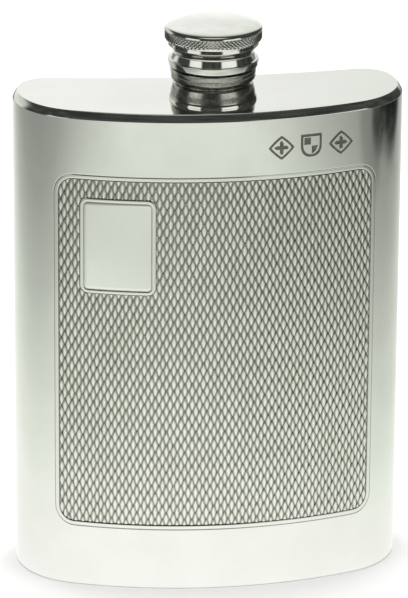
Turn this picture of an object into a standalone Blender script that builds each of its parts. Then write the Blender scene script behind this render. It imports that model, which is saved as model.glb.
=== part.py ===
"""Pewter hip flask with a screw cap, built from its separate pieces.

Metres, +Z up. The flask stands on z = 0, its engine-turned front faces -Y, and its width lies along X.
The body has a kidney-shaped outline: a bowed front, round ends, tighter back corners and a hollow back.
"""

import math

import bmesh
import bpy

# Body
WIDTH = 0.082
BODY_HEIGHT = 0.1053
WALL = 0.0012
GAP = 0.0003
END_RADIUS = 0.0165
CORNER_RADIUS = 0.0074
FRONT_SWEEP = math.radians(21.4)
CORNER_START = math.radians(108)
BACK_SWEEP = math.radians(9)
FRONT_STEPS, END_STEPS, CORNER_STEPS, BACK_STEPS = 10, 9, 7, 8

# End plates
TOP_THICKNESS = 0.0016
TOP_ROUND = 0.0014
BASE_THICKNESS = 0.0015
BASE_ROUND = 0.0007
ROUND_SEGMENTS = 4

# Engine-turned panel and its plain window, measured along the bowed front from its middle
PANEL_HALF = 0.0348
PANEL_LOW, PANEL_HIGH = 0.0136, 0.0919
WINDOW_LEFT, WINDOW_RIGHT = -0.0287, -0.0136
WINDOW_LOW, WINDOW_HIGH = 0.0666, 0.0865
PANEL_DEPTH = 0.00025
PANEL_SLOPE = 0.0004
SHEET_STEP = 0.0036

# Neck and cap, all turned about one upright axis
NECK_Y = -0.0032
TURNED_STEPS = 56
BORE_RADIUS = 0.0046
TUBE_RADIUS = 0.0060
TUBE_TOP = 0.0124
FLANGE_RADIUS = 0.0076
FLANGE_THICKNESS = 0.0013
FERRULE_TOP = 0.0070
COLLAR_RADIUS, COLLAR_ROUND, COLLAR_LOW = 0.0089, 0.0009, 0.00505
WAIST_RADIUS, WAIST_ROUND, WAIST_HEIGHT = 0.0075, 0.0003, 0.00375
BEAD_RADIUS, BEAD_ROUND, BEAD_HEIGHT = 0.0085, 0.00065, 0.00275
COVE_ROUND, COVE_HEIGHT = 0.00045, 0.00175
FERRULE_FOOT, FOOT_ROUND, FOOT_HEIGHT = 0.0092, 0.00055, 0.00065
CAP_BOTTOM, CAP_TOP = 0.0073, 0.0161
CAP_RING_RADIUS, CAP_RING_ROUND, CAP_RING_HEIGHT = 0.00945, 0.00048, 0.00872
CAP_WAIST, CAP_WAIST_ROUND, CAP_WAIST_HEIGHT = 0.00834, 0.0013, 0.0102
CAP_RIM_RADIUS, CAP_RIM_ROUND, CAP_RIM_LOW = 0.01015, 0.0005, 0.0133
CAP_EDGE_ROUND = 0.0004
CAP_BORE = 0.0073
CAP_CEILING = 0.0136
INSERT_RADIUS, INSERT_BORE = 0.0070, 0.00655
INSERT_LOW, INSERT_TOP = 0.0076, 0.0123
SEAL_LOW, SEAL_TOP = 0.0127, 0.0133

# Thread
PITCH = 0.0020
THREAD_CORE = 0.0056
THREAD_TURNS = 1.75
THREAD_START = 0.0080
INSERT_THREAD_LIFT = 0.0012
THREAD_ROOT_WIDTH, THREAD_TIP_WIDTH = 0.0009, 0.0004
THREAD_HEIGHT = 0.00065
THREAD_STEPS = 32
THREAD_SINK = 0.0002
THREAD_FADE = 0.2

PEWTER = (0.72, 0.72, 0.69, 1)
NICKEL = (0.62, 0.60, 0.55, 1)
CORK_WHITE = (0.86, 0.85, 0.80, 1)


def clear_scene():
    for thing in list(bpy.data.objects):
        bpy.data.objects.remove(thing, do_unlink=True)


def new_collection(name):
    made = bpy.data.collections.new(name)
    bpy.context.scene.collection.children.link(made)
    return made


def new_object(name, bm, collection, material=None):
    """A bmesh as an object of its own, with its own copy of the material's colours."""
    mesh = bpy.data.meshes.new(name)
    bm.to_mesh(mesh)
    bm.free()
    thing = bpy.data.objects.new(name, mesh)
    collection.objects.link(thing)
    if material:
        colour, roughness, metallic = material
        made = bpy.data.materials.new(name)
        made.use_nodes = True
        shader = made.node_tree.nodes["Principled BSDF"]
        shader.inputs["Base Color"].default_value = colour
        shader.inputs["Roughness"].default_value = roughness
        shader.inputs["Metallic"].default_value = metallic
        mesh.materials.append(made)
    return thing


def smooth(thing, angle=35):
    thing.data.shade_smooth()
    thing.data.set_sharp_from_angle(angle=math.radians(angle))


def as_cutter(thing):
    thing.hide_render = True
    thing.display_type = "WIRE"
    return thing


def boolean(thing, operand, operation):
    cut = thing.modifiers.new(f"{operation.lower()}_{operand.name}", "BOOLEAN")
    cut.operation = operation
    cut.solver = "EXACT"
    cut.object = operand


# The body's outline. A heading is the outward normal's turn from -Y towards +X.


def closing_radii():
    """The front's and the back's radii that bring the half outline to its width and back to x = 0."""
    front = (WIDTH / 2 - END_RADIUS * (1 - math.sin(FRONT_SWEEP))) / math.sin(FRONT_SWEEP)
    past_end = WIDTH / 2 - END_RADIUS * (1 - math.sin(CORNER_START))
    corner = CORNER_RADIUS * (math.sin(BACK_SWEEP) + math.sin(CORNER_START))
    return front, (past_end - corner) / math.sin(BACK_SWEEP)


FRONT_RADIUS, BACK_RADIUS = closing_radii()
FRONT_Y = -0.5 * (
    FRONT_RADIUS * (1 - math.cos(FRONT_SWEEP))
    + END_RADIUS * (math.cos(FRONT_SWEEP) - math.cos(CORNER_START))
    + CORNER_RADIUS * (math.cos(CORNER_START) + 1)
)
HALF_ARCS = (
    (FRONT_RADIUS, 0.0, FRONT_SWEEP, FRONT_STEPS),
    (END_RADIUS, FRONT_SWEEP, CORNER_START, END_STEPS),
    (CORNER_RADIUS, CORNER_START, math.pi + BACK_SWEEP, CORNER_STEPS),
    (-BACK_RADIUS, math.pi + BACK_SWEEP, math.pi, BACK_STEPS),
)


def half_outline():
    """Points from the middle of the front, round the +X end, to the middle of the back."""
    x, y = 0.0, FRONT_Y
    points = [(x, y)]
    for radius, start, end, steps in HALF_ARCS:
        for i in range(1, steps + 1):
            heading = start + (end - start) * i / steps
            points.append(
                (
                    x + radius * (math.sin(heading) - math.sin(start)),
                    y + radius * (math.cos(start) - math.cos(heading)),
                )
            )
        x, y = points[-1]
    return points


def full_outline():
    """The whole closed outline, anticlockwise from above, from the middle of the front."""
    half = half_outline()
    return half + [(-x, y) for x, y in reversed(half[1:-1])]


def front_heading(along):
    """Heading of the bowed front at a distance along it from its middle."""
    on_front = FRONT_RADIUS * FRONT_SWEEP
    if abs(along) <= on_front:
        return along / FRONT_RADIUS
    return math.copysign(FRONT_SWEEP + (abs(along) - on_front) / END_RADIUS, along)


def front_point(along, depth):
    """Plan position of a point on the front, sunk inwards by depth."""
    heading = abs(front_heading(along))
    bowed = min(heading, FRONT_SWEEP)
    x = FRONT_RADIUS * math.sin(bowed) + END_RADIUS * (math.sin(heading) - math.sin(bowed))
    y = FRONT_Y + FRONT_RADIUS * (1 - math.cos(bowed))
    y += END_RADIUS * (math.cos(bowed) - math.cos(heading))
    x -= depth * math.sin(heading)
    y += depth * math.cos(heading)
    return math.copysign(x, along), y


def wall_heights():
    return BASE_THICKNESS + GAP, BODY_HEIGHT - TOP_THICKNESS - GAP


def sheet(name, collection, columns, rows, place):
    """A flat grid bent by place(column, row), then thickened inwards to the wall's thickness."""
    bm = bmesh.new()
    bmesh.ops.create_grid(bm, x_segments=len(columns) - 1, y_segments=len(rows) - 1, size=0.5)
    for vert in bm.verts:
        i = round((vert.co.x + 0.5) * (len(columns) - 1))
        j = round((vert.co.y + 0.5) * (len(rows) - 1))
        vert.co = place(columns[i], rows[j])
    thing = new_object(name, bm, collection, (PEWTER, 0.18, 1.0))
    smooth(thing)
    wall = thing.modifiers.new("wall", "SOLIDIFY")
    wall.thickness = WALL
    wall.offset = -1
    wall.use_even_offset = True
    return thing


def lines(low, high, step, features):
    """Grid lines from low to high about a step apart, with each feature's own line in place of its
    nearest neighbours."""
    count = max(1, round((high - low) / step))
    even = [low + (high - low) * i / count for i in range(count + 1)]
    clear = [v for v in even[1:-1] if all(abs(v - f) > 0.4 * step for f in features)]
    return sorted([low, high, *clear, *features])


def edge_pair(edge, inward):
    """The outer and inner line of a sloping step, inward being +1 or -1."""
    return [edge, edge + inward * PANEL_SLOPE]


def sunk(along, height):
    """Whether a grid point lies on the sunk floor of the panel, outside the window."""
    inner = PANEL_SLOPE - 1e-7
    in_panel = abs(along) < PANEL_HALF - inner
    in_panel = in_panel and PANEL_LOW + inner < height < PANEL_HIGH - inner
    beside = not WINDOW_LEFT - inner < along < WINDOW_RIGHT + inner
    above = not WINDOW_LOW - inner < height < WINDOW_HIGH + inner
    return in_panel and (beside or above)


def front_shell(collection):
    """The bowed front sheet with round ends, its panel sunk a little and the window left standing."""
    seam = FRONT_RADIUS * FRONT_SWEEP + END_RADIUS * (math.pi / 2 - FRONT_SWEEP) - GAP / 2
    columns = [*edge_pair(-PANEL_HALF, 1), *edge_pair(PANEL_HALF, -1)]
    columns += [*edge_pair(WINDOW_LEFT, -1), *edge_pair(WINDOW_RIGHT, 1)]
    rows = [*edge_pair(PANEL_LOW, 1), *edge_pair(PANEL_HIGH, -1)]
    rows += [*edge_pair(WINDOW_LOW, -1), *edge_pair(WINDOW_HIGH, 1)]
    low, high = wall_heights()

    def place(along, height):
        x, y = front_point(along, PANEL_DEPTH if sunk(along, height) else 0.0)
        return x, y, height

    columns = lines(-seam, seam, SHEET_STEP, columns)
    return sheet("front_shell", collection, columns, sorted([low, high, *rows]), place)


def rear_shell(collection):
    """The hollow back sheet with its tight corners, from one end's seam round to the other's."""
    half = [p for p in half_outline()[FRONT_STEPS:] if p[1] > seam_y() + GAP]
    start = (WIDTH / 2, seam_y() + GAP / 2)
    path = [start, *half, *[(-x, y) for x, y in reversed(half[:-1])], (-start[0], start[1])]

    def place(index, height):
        return *path[index], height

    return sheet("rear_shell", collection, range(len(path)), wall_heights(), place)


def seam_y():
    """Where the two ends are widest, and the front and rear sheets meet."""
    return front_point(FRONT_RADIUS * FRONT_SWEEP + END_RADIUS * (math.pi / 2 - FRONT_SWEEP), 0)[1]


def plate(name, collection, low, high, rounded_z, radius):
    """A plate of the body's full outline, with the edge at rounded_z rounded."""
    bm = bmesh.new()
    face = bm.faces.new([bm.verts.new((x, y, low)) for x, y in full_outline()])
    raised = bmesh.ops.extrude_face_region(bm, geom=[face])["geom"]
    top = [v for v in raised if isinstance(v, bmesh.types.BMVert)]
    bmesh.ops.translate(bm, vec=(0, 0, high - low), verts=top)
    bmesh.ops.recalc_face_normals(bm, faces=bm.faces)
    weight = bm.edges.layers.float.new("bevel_weight_edge")
    for edge in bm.edges:
        edge[weight] = float(all(abs(v.co.z - rounded_z) < 1e-6 for v in edge.verts))
    thing = new_object(name, bm, collection, (PEWTER, 0.15, 1.0))
    smooth(thing)
    rounding = thing.modifiers.new("rounding", "BEVEL")
    rounding.limit_method = "WEIGHT"
    rounding.width = radius
    rounding.segments = ROUND_SEGMENTS
    return thing


def top_plate(collection, cutters):
    high, low = BODY_HEIGHT, BODY_HEIGHT - TOP_THICKNESS
    thing = plate("top_plate", collection, low, high, high, TOP_ROUND)
    bm = bmesh.new()
    bmesh.ops.create_cone(
        bm,
        cap_ends=True,
        segments=TURNED_STEPS,
        radius1=TUBE_RADIUS + GAP,
        radius2=TUBE_RADIUS + GAP,
        depth=4 * TOP_THICKNESS,
    )
    hole = as_cutter(new_object("neck_hole", bm, cutters))
    hole.location = (0, NECK_Y, BODY_HEIGHT)
    boolean(thing, hole, "DIFFERENCE")
    return thing


def base_plate(collection):
    return plate("base_plate", collection, 0.0, BASE_THICKNESS, 0.0, BASE_ROUND)


# Turned pieces. A profile is (radius, height over the top plate), down its outer side first.


def arc(radius, height, size, start, end, steps):
    """Points on a circle of the given size, angles in degrees from straight outwards."""
    angles = [math.radians(start + (end - start) * i / steps) for i in range(steps + 1)]
    return [(radius + size * math.cos(a), height + size * math.sin(a)) for a in angles]


def turned(name, collection, profile, material, steps=TURNED_STEPS):
    """A profile turned about the neck's axis. A profile that keeps off the axis closes on itself."""
    bm = bmesh.new()
    verts = [bm.verts.new((radius, 0, height)) for radius, height in profile]
    if profile[0][0] > 0:
        verts.append(verts[0])
    for a, b in zip(verts, verts[1:]):
        bm.edges.new((a, b))
    thing = new_object(name, bm, collection, material)
    thing.location = (0, NECK_Y, BODY_HEIGHT)
    turn = thing.modifiers.new("turning", "SCREW")
    turn.steps = turn.render_steps = steps
    turn.use_merge_vertices = True
    turn.merge_threshold = 1e-6
    turn.use_smooth_shade = True
    return thing


def thread_ridge(name, cutters, root, tip, start):
    """A right-hand helical ridge from root to tip radius, fading out at both ends."""
    bm = bmesh.new()
    count = round(THREAD_TURNS * THREAD_STEPS)
    rings = []
    for i in range(count + 1):
        turn = i / THREAD_STEPS
        fade = min(1.0, turn / THREAD_FADE, (THREAD_TURNS - turn) / THREAD_FADE)
        crest = root + (tip - root) * max(fade, 0.35)
        angle, middle = 2 * math.pi * turn, start + PITCH * turn
        corners = [
            (root, middle - THREAD_ROOT_WIDTH / 2),
            (crest, middle - THREAD_TIP_WIDTH / 2),
            (crest, middle + THREAD_TIP_WIDTH / 2),
            (root, middle + THREAD_ROOT_WIDTH / 2),
        ]
        rings.append(
            [bm.verts.new((r * math.cos(angle), r * math.sin(angle), z)) for r, z in corners]
        )
    for low, high in zip(rings, rings[1:]):
        for k in range(4):
            bm.faces.new((low[k], low[k - 1], high[k - 1], high[k]))
    bm.faces.new(rings[0])
    bm.faces.new(reversed(rings[-1]))
    bmesh.ops.recalc_face_normals(bm, faces=bm.faces)
    ridge = as_cutter(new_object(name, bm, cutters))
    ridge.location = (0, NECK_Y, BODY_HEIGHT)
    return ridge


def neck_ferrule(collection):
    """The turned ferrule round the neck: from the top, the cap's seat on a collar, a waist, a bead and a foot."""
    profile = [
        (TUBE_RADIUS + GAP, FERRULE_TOP),
        *arc(COLLAR_RADIUS - GAP, FERRULE_TOP - GAP, GAP, 90, 0, 2),
        *arc(COLLAR_RADIUS - COLLAR_ROUND, COLLAR_LOW, COLLAR_ROUND, 0, -75, 4),
        *arc(WAIST_RADIUS + WAIST_ROUND, WAIST_HEIGHT, WAIST_ROUND, 150, 215, 2),
        *arc(BEAD_RADIUS - BEAD_ROUND, BEAD_HEIGHT, BEAD_ROUND, 75, 0, 3),
        *arc(BEAD_RADIUS + COVE_ROUND, COVE_HEIGHT, COVE_ROUND, 180, 262, 3),
        *arc(FERRULE_FOOT - FOOT_ROUND, FOOT_HEIGHT, FOOT_ROUND, 70, 0, 3),
        (FERRULE_FOOT, GAP),
        (TUBE_RADIUS + GAP, GAP),
    ]
    turned("neck_ferrule", collection, profile, (PEWTER, 0.12, 1.0))


def threaded_neck(collection, cutters):
    """The pouring tube: a flange under the top plate, a plain shank, and the thread above the seat."""
    flange_top = -TOP_THICKNESS - GAP
    profile = [
        (BORE_RADIUS + 0.0003, TUBE_TOP),
        *arc(THREAD_CORE - 0.0003, TUBE_TOP - 0.0003, 0.0003, 90, 0, 2),
        (THREAD_CORE, FERRULE_TOP + 0.0004),
        (TUBE_RADIUS, FERRULE_TOP),
        (TUBE_RADIUS, flange_top),
        (FLANGE_RADIUS, flange_top),
        (FLANGE_RADIUS, flange_top - FLANGE_THICKNESS),
        (BORE_RADIUS, flange_top - FLANGE_THICKNESS),
        (BORE_RADIUS, TUBE_TOP - 0.0003),
    ]
    thing = turned("threaded_neck", collection, profile, (NICKEL, 0.25, 1.0))
    ridge = thread_ridge(
        "neck_ridge", cutters, THREAD_CORE - THREAD_SINK, THREAD_CORE + THREAD_HEIGHT, THREAD_START
    )
    boolean(thing, ridge, "UNION")


def cap_body(collection):
    """The turned cap: a domed top with a broad rim that tapers into a waist, and a ring at its mouth."""
    rim, ring, edge_height = CAP_RIM_RADIUS, CAP_RING_RADIUS, CAP_TOP - 0.00085
    profile = [
        (0.0, CAP_TOP),
        (0.0045, CAP_TOP - 0.0001),
        (0.0080, CAP_TOP - 0.0003),
        *arc(rim - CAP_EDGE_ROUND, edge_height, CAP_EDGE_ROUND, 80, 0, 3),
        *arc(rim - CAP_RIM_ROUND, CAP_RIM_LOW, CAP_RIM_ROUND, 0, -58, 2),
        *arc(CAP_WAIST + CAP_WAIST_ROUND, CAP_WAIST_HEIGHT, CAP_WAIST_ROUND, 142, 220, 4),
        *arc(ring - CAP_RING_ROUND, CAP_RING_HEIGHT, CAP_RING_ROUND, 100, 0, 3),
        *arc(ring - GAP, CAP_BOTTOM + GAP, GAP, 0, -90, 2),
        (CAP_BORE, CAP_BOTTOM),
        (CAP_BORE, CAP_CEILING),
        (0.0, CAP_CEILING),
    ]
    turned("cap_body", collection, profile, (PEWTER, 0.15, 1.0))


def cap_insert(collection, cutters):
    """The threaded sleeve pressed into the cap, its ridge half a pitch off the neck's."""
    profile = [
        (INSERT_BORE, INSERT_TOP),
        (INSERT_RADIUS, INSERT_TOP),
        (INSERT_RADIUS, INSERT_LOW),
        (INSERT_BORE, INSERT_LOW),
    ]
    thing = turned("cap_insert", collection, profile, (NICKEL, 0.3, 1.0))
    tip = INSERT_BORE - THREAD_HEIGHT
    start = THREAD_START - PITCH / 2 + INSERT_THREAD_LIFT
    ridge = thread_ridge("cap_ridge", cutters, INSERT_BORE + THREAD_SINK, tip, start)
    ridge.rotation_euler.z = 2 * math.pi * INSERT_THREAD_LIFT / PITCH
    boolean(thing, ridge, "UNION")


def cap_seal(collection):
    """The soft disc between the cap's ceiling and the neck's lip."""
    radius = INSERT_RADIUS - 0.0001
    profile = [(0.0, SEAL_TOP), (radius, SEAL_TOP), (radius, SEAL_LOW), (0.0, SEAL_LOW)]
    turned("cap_seal", collection, profile, (CORK_WHITE, 0.8, 0.0))


def build():
    clear_scene()
    flask = new_collection("hip_flask")
    cutters = new_collection("cutters")
    front_shell(flask)
    rear_shell(flask)
    top_plate(flask, cutters)
    base_plate(flask)
    neck_ferrule(flask)
    threaded_neck(flask, cutters)
    cap_body(flask)
    cap_insert(flask, cutters)
    cap_seal(flask)


build()
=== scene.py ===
"""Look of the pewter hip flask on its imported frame: finer metal, the engine-turned front and a studio."""

import math
import random

import bmesh
import bpy
from mathutils import Matrix, Vector
from mathutils.geometry import delaunay_2d_cdt


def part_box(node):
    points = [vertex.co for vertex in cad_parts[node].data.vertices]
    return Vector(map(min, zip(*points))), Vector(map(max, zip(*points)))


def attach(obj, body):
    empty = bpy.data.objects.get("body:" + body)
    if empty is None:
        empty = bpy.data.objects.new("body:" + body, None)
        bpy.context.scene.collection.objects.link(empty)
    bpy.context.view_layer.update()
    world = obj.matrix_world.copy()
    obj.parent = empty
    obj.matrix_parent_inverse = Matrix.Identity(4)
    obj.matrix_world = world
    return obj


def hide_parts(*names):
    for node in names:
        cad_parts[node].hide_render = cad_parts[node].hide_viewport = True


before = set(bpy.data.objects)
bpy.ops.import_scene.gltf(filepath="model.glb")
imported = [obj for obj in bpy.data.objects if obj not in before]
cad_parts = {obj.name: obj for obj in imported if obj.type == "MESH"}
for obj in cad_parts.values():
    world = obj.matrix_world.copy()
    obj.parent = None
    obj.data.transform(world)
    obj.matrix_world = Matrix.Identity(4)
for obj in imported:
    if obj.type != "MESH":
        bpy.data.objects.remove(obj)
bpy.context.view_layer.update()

MM = 0.001

# Sizes taken from the frame, in metres
plate_low, plate_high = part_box("top_plate")
_, foot_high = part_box("base_plate")
cap_low, cap_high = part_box("cap_body")
rear_low, rear_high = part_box("rear_shell")

WIDTH = rear_high[0] - rear_low[0]
BODY_HEIGHT = plate_high[2]
FRONT_Y = plate_low[1]
WALL_LOW, WALL_HIGH = foot_high[2], plate_low[2]
NECK_Y = (cap_low[1] + cap_high[1]) / 2
WALL = 1.2 * MM
SHADING_BLEND = 4.0 * MM  # how far reflections are smoothed on either side of a change of bow

# The kidney outline, from the middle of the front round the +X end to the middle of the back: each arc has a
# radius, a first and last heading, and steps. A heading is the outward normal's turn from -Y towards +X.
END_RADIUS, CORNER_RADIUS = 16.5 * MM, 7.4 * MM
FRONT_SWEEP, CORNER_START, BACK_SWEEP = math.radians(21.4), math.radians(108), math.radians(9)
FRONT_RADIUS = (WIDTH / 2 - END_RADIUS * (1 - math.sin(FRONT_SWEEP))) / math.sin(FRONT_SWEEP)
past_end = WIDTH / 2 - END_RADIUS * (1 - math.sin(CORNER_START))
corner_reach = CORNER_RADIUS * (math.sin(BACK_SWEEP) + math.sin(CORNER_START))
BACK_RADIUS = (past_end - corner_reach) / math.sin(BACK_SWEEP)
HALF_ARCS = (
    (FRONT_RADIUS, 0.0, FRONT_SWEEP, 40),
    (END_RADIUS, FRONT_SWEEP, math.pi / 2, 30),
    (END_RADIUS, math.pi / 2, CORNER_START, 8),
    (CORNER_RADIUS, CORNER_START, math.pi + BACK_SWEEP, 26),
    (-BACK_RADIUS, math.pi + BACK_SWEEP, math.pi, 24),
)
BOWED_HALF = FRONT_RADIUS * FRONT_SWEEP
SEAM = BOWED_HALF + END_RADIUS * (math.pi / 2 - FRONT_SWEEP)

# The engine-turned panel, measured along the bowed front from its middle, and upwards
PANEL = dict(low=(-34.8 * MM, 13.6 * MM), high=(34.8 * MM, 91.9 * MM), radius=4.3 * MM)
WINDOW = dict(low=(-28.7 * MM, 66.6 * MM), high=(-13.56 * MM, 86.5 * MM), radius=1.3 * MM)
PITCH_ALONG, PITCH_UP = 1.55 * MM, 3.07 * MM
FIELD_DEPTH = 0.36 * MM
FIELD_INSET = 1.07 * MM  # how far the field's edge lies inside the border's outer groove
WINDOW_GAP = 0.58 * MM  # how far it lies outside the window's bead

BORDER = (  # inset from the border's outer groove, depth and tarnish, from the outside in: millimetres
    (-0.24, 0.0, 0.0), (-0.13, 0.012, 0.1), (-0.04, 0.045, 0.6), (0.04, 0.045, 0.6), (0.13, 0.012, 0.1),
    (0.24, 0.0, 0.08), (0.56, 0.0, 0.08), (0.74, 0.008, 0.1), (0.84, 0.028, 0.3), (0.93, 0.08, 0.9),
    (1.04, 0.20, 1.0), (1.14, 0.36, 1.0),
)
WINDOW_FRAME = (  # the same for the window, with the inset from the middle of its bead
    (-0.62, 0.36, 1.0), (-0.54, 0.20, 0.8), (-0.46, 0.08, 0.4), (-0.36, 0.025, 0.2), (-0.2, 0.006, 0.14),
    (0.0, 0.0, 0.12), (0.16, 0.012, 0.12), (0.27, 0.035, 0.2), (0.36, 0.065, 0.6), (0.46, 0.06, 0.5),
    (0.60, 0.035, 0.15), (0.76, 0.022, 0.0), (0.92, 0.009, 0.0), (1.08, 0.003, 0.0),
)
WINDOW_FLOOR = WINDOW_FRAME[-1][1] * MM

# The punched marks: the middle of each, along the front and up, and the box the wall's grid leaves to them
MARK_PLACES = ((13.0 * MM, 97.65 * MM), (19.5 * MM, 97.6 * MM), (26.2 * MM, 97.5 * MM))
MARKS_LOW, MARKS_HIGH = (10 * MM, 94.3 * MM), (29.6 * MM, 100.9 * MM)
MARK_DEPTH = 0.13 * MM


# Materials


class Nodes:
    """Builds one material's node tree, ending in its Principled shader."""

    def __init__(self, name):
        self.material = bpy.data.materials.new(name)
        self.material.use_nodes = True
        self.tree = self.material.node_tree
        self.shader = self.tree.nodes["Principled BSDF"]
        self.place = self.node("ShaderNodeTexCoord").outputs["Object"]

    def node(self, kind, **settings):
        made = self.tree.nodes.new(kind)
        for key, value in settings.items():
            setattr(made, key, value)
        return made

    def link(self, source, target):
        self.tree.links.new(source, target)

    def stretched(self, scale):
        mapping = self.node("ShaderNodeMapping")
        mapping.inputs["Scale"].default_value = scale
        self.link(self.place, mapping.inputs["Vector"])
        return mapping.outputs["Vector"]

    def noise(self, scale, detail, roughness=0.55, stretch=(1, 1, 1)):
        made = self.node("ShaderNodeTexNoise")
        for key, value in (("Scale", scale), ("Detail", detail), ("Roughness", roughness)):
            made.inputs[key].default_value = value
        self.link(self.stretched(stretch), made.inputs["Vector"])
        return made.outputs["Fac"]

    def spread(self, source, low, high, to_low, to_high):
        """to_low where source is low, to_high where it is high, and a smooth step between."""
        made = self.node("ShaderNodeMapRange", interpolation_type="SMOOTHSTEP")
        for key, value in (("From Min", low), ("From Max", high), ("To Min", to_low), ("To Max", to_high)):
            made.inputs[key].default_value = value
        self.link(source, made.inputs["Value"])
        return made.outputs["Result"]

    def maths(self, operation, a, b):
        made = self.node("ShaderNodeMath", operation=operation)
        for socket, value in zip(made.inputs, (a, b)):
            if isinstance(value, (int, float)):
                socket.default_value = value
            else:
                self.link(value, socket)
        return made.outputs["Value"]

    def times(self, a, b):
        return self.maths("MULTIPLY", a, b)

    def plus(self, a, b):
        return self.maths("ADD", a, b)

    def axes(self):
        """The X, Y and Z of the shaded place."""
        split = self.node("ShaderNodeSeparateXYZ")
        self.link(self.place, split.inputs["Vector"])
        return [split.outputs[axis] for axis in "XYZ"]

    def mix(self, factor, a, b):
        made = self.node("ShaderNodeMix", data_type="RGBA")
        self.link(factor, made.inputs["Factor"])
        coloured = [socket for socket in made.inputs if socket.type == "RGBA"]
        for socket, value in zip(coloured, (a, b)):
            if isinstance(value, tuple):
                socket.default_value = (*value, 1)
            else:
                self.link(value, socket)
        return next(socket for socket in made.outputs if socket.type == "RGBA")

    def attribute(self, name):
        return self.node("ShaderNodeAttribute", attribute_name=name).outputs["Fac"]

    def bump(self, height, strength, distance, under=None):
        made = self.node("ShaderNodeBump")
        made.inputs["Strength"].default_value = strength
        made.inputs["Distance"].default_value = distance
        self.link(height, made.inputs["Height"])
        if under is not None:
            self.link(under, made.inputs["Normal"])
        return made.outputs["Normal"]


def polished_metal(name, clean, dull, rough, haze, scratch=(2400, 2400, 54000), film=(0.40, 0.41, 0.36),
                   tarnish=(0.16, 0.165, 0.14)):
    """Hand-polished metal: haze, fine scratches, a grey film where the mesh's sunk attribute is over 0, and
    tarnish where it nears 1. scratch is how many scratches a metre holds along each axis."""
    n = Nodes(name)
    clouds = n.spread(n.noise(70, 4), 0.35, 0.7, 0, 1)
    smears = n.spread(n.noise(420, 3, stretch=(1, 1, 0.35)), 0.45, 0.75, 0, 1)
    sunk = n.attribute("sunk")
    uneven = n.spread(n.noise(900, 2), 0.25, 0.75, 0.8, 1.0)
    colour = n.mix(n.times(clouds, 0.6), clean, dull)
    colour = n.mix(n.times(n.spread(sunk, 0.02, 0.5, 0, 1), uneven), colour, film)
    colour = n.mix(n.times(n.spread(sunk, 0.5, 1.0, 0, 1), uneven), colour, tarnish)
    n.link(colour, n.shader.inputs["Base Color"])
    scratches = n.noise(1.0, 2, 0.6, stretch=scratch)
    lines = n.spread(scratches, 0.62, 0.72, 0, 1)
    veil = n.plus(n.times(clouds, haze), n.times(smears, haze * 0.8))
    veil = n.plus(veil, n.times(lines, haze * 0.7))
    veil = n.plus(veil, n.times(sunk, 0.25))
    n.link(n.plus(veil, rough), n.shader.inputs["Roughness"])
    n.shader.inputs["Metallic"].default_value = 1.0
    swell = n.bump(n.noise(55, 2), 0.25, 0.00004)
    n.link(n.bump(scratches, 0.05, 0.00001, swell), n.shader.inputs["Normal"])
    return n.material


def turned_metal(name, clean, dull, rough, ring_pitch, ring_strength=0.12, tarnish=(0.16, 0.15, 0.12)):
    """Lathe-turned metal: fine rings about the neck's axis, haze, and a dark tarnish colour in the sunk
    places, which on the ferrule's collar and waist also stands for painted shade under the cap.
    """
    n = Nodes(name)
    x, y, z = n.axes()
    y = n.maths("SUBTRACT", y, NECK_Y)
    radius = n.maths("SQRT", n.plus(n.maths("POWER", x, 2.0), n.times(y, y)), 0.0)
    across = n.plus(n.times(radius, 0.8), z)
    rings = n.node("ShaderNodeTexNoise", noise_dimensions="1D")
    rings.inputs["Scale"].default_value = 1.0
    rings.inputs["Detail"].default_value = 2.0
    n.link(n.maths("DIVIDE", across, ring_pitch), rings.inputs["W"])
    clouds = n.spread(n.noise(260, 3), 0.35, 0.7, 0, 1)
    sunk = n.attribute("sunk")
    colour = n.mix(n.times(clouds, 0.7), clean, dull)
    # tarnish in the sunk places, and on the ferrule painted shade under the cap's rim
    tarnish_and_shade = n.times(sunk, n.spread(n.noise(1500, 2), 0.25, 0.75, 0.7, 1.0))
    n.link(n.mix(tarnish_and_shade, colour, tarnish), n.shader.inputs["Base Color"])
    veil = n.plus(n.times(clouds, 0.05), n.times(sunk, 0.2))
    n.link(n.plus(veil, rough), n.shader.inputs["Roughness"])
    n.shader.inputs["Metallic"].default_value = 1.0
    n.link(n.bump(rings.outputs["Fac"], ring_strength, 0.00001), n.shader.inputs["Normal"])
    return n.material


def seal_material():
    """Pale pressed cork composition: two sizes of granule in a warm off-white."""
    n = Nodes("cork_seal")
    grains = n.node("ShaderNodeTexVoronoi")
    grains.inputs["Scale"].default_value = 1500
    n.link(n.place, grains.inputs["Vector"])
    fleck = n.spread(n.noise(2600, 3), 0.5, 0.68, 0, 1)
    tone = n.mix(grains.outputs["Distance"], (0.70, 0.62, 0.48), (0.83, 0.78, 0.66))
    n.link(n.mix(fleck, tone, (0.42, 0.33, 0.22)), n.shader.inputs["Base Color"])
    n.link(n.spread(fleck, 0, 1, 0.75, 0.92), n.shader.inputs["Roughness"])
    n.link(n.bump(grains.outputs["Distance"], 0.35, 0.00004), n.shader.inputs["Normal"])
    return n.material


# Meshes


def added(name, data):
    """A new object in the scene."""
    thing = bpy.data.objects.new(name, data)
    bpy.context.scene.collection.objects.link(thing)
    return thing


def finish_piece(name, mesh, material, body, node):
    """The mesh as a piece that rides on a body, and stands for its CAD node if it has one."""
    thing = added(name, mesh)
    mesh.materials.append(material)
    if node:
        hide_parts(node)
    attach(thing, body)
    return thing


def outline():
    """The closed outline as (x, y, heading), anticlockwise from the middle of the front."""
    x, y, half = 0.0, FRONT_Y, [(0.0, FRONT_Y, 0.0)]
    for radius, start, end, steps in HALF_ARCS:
        for i in range(1, steps + 1):
            heading = start + (end - start) * i / steps
            half.append((
                x + radius * (math.sin(heading) - math.sin(start)),
                y + radius * (math.cos(start) - math.cos(heading)),
                heading,
            ))
        x, y = half[-1][:2]
    return half + [(-x, y, -heading) for x, y, heading in reversed(half[1:-1])]


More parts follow.
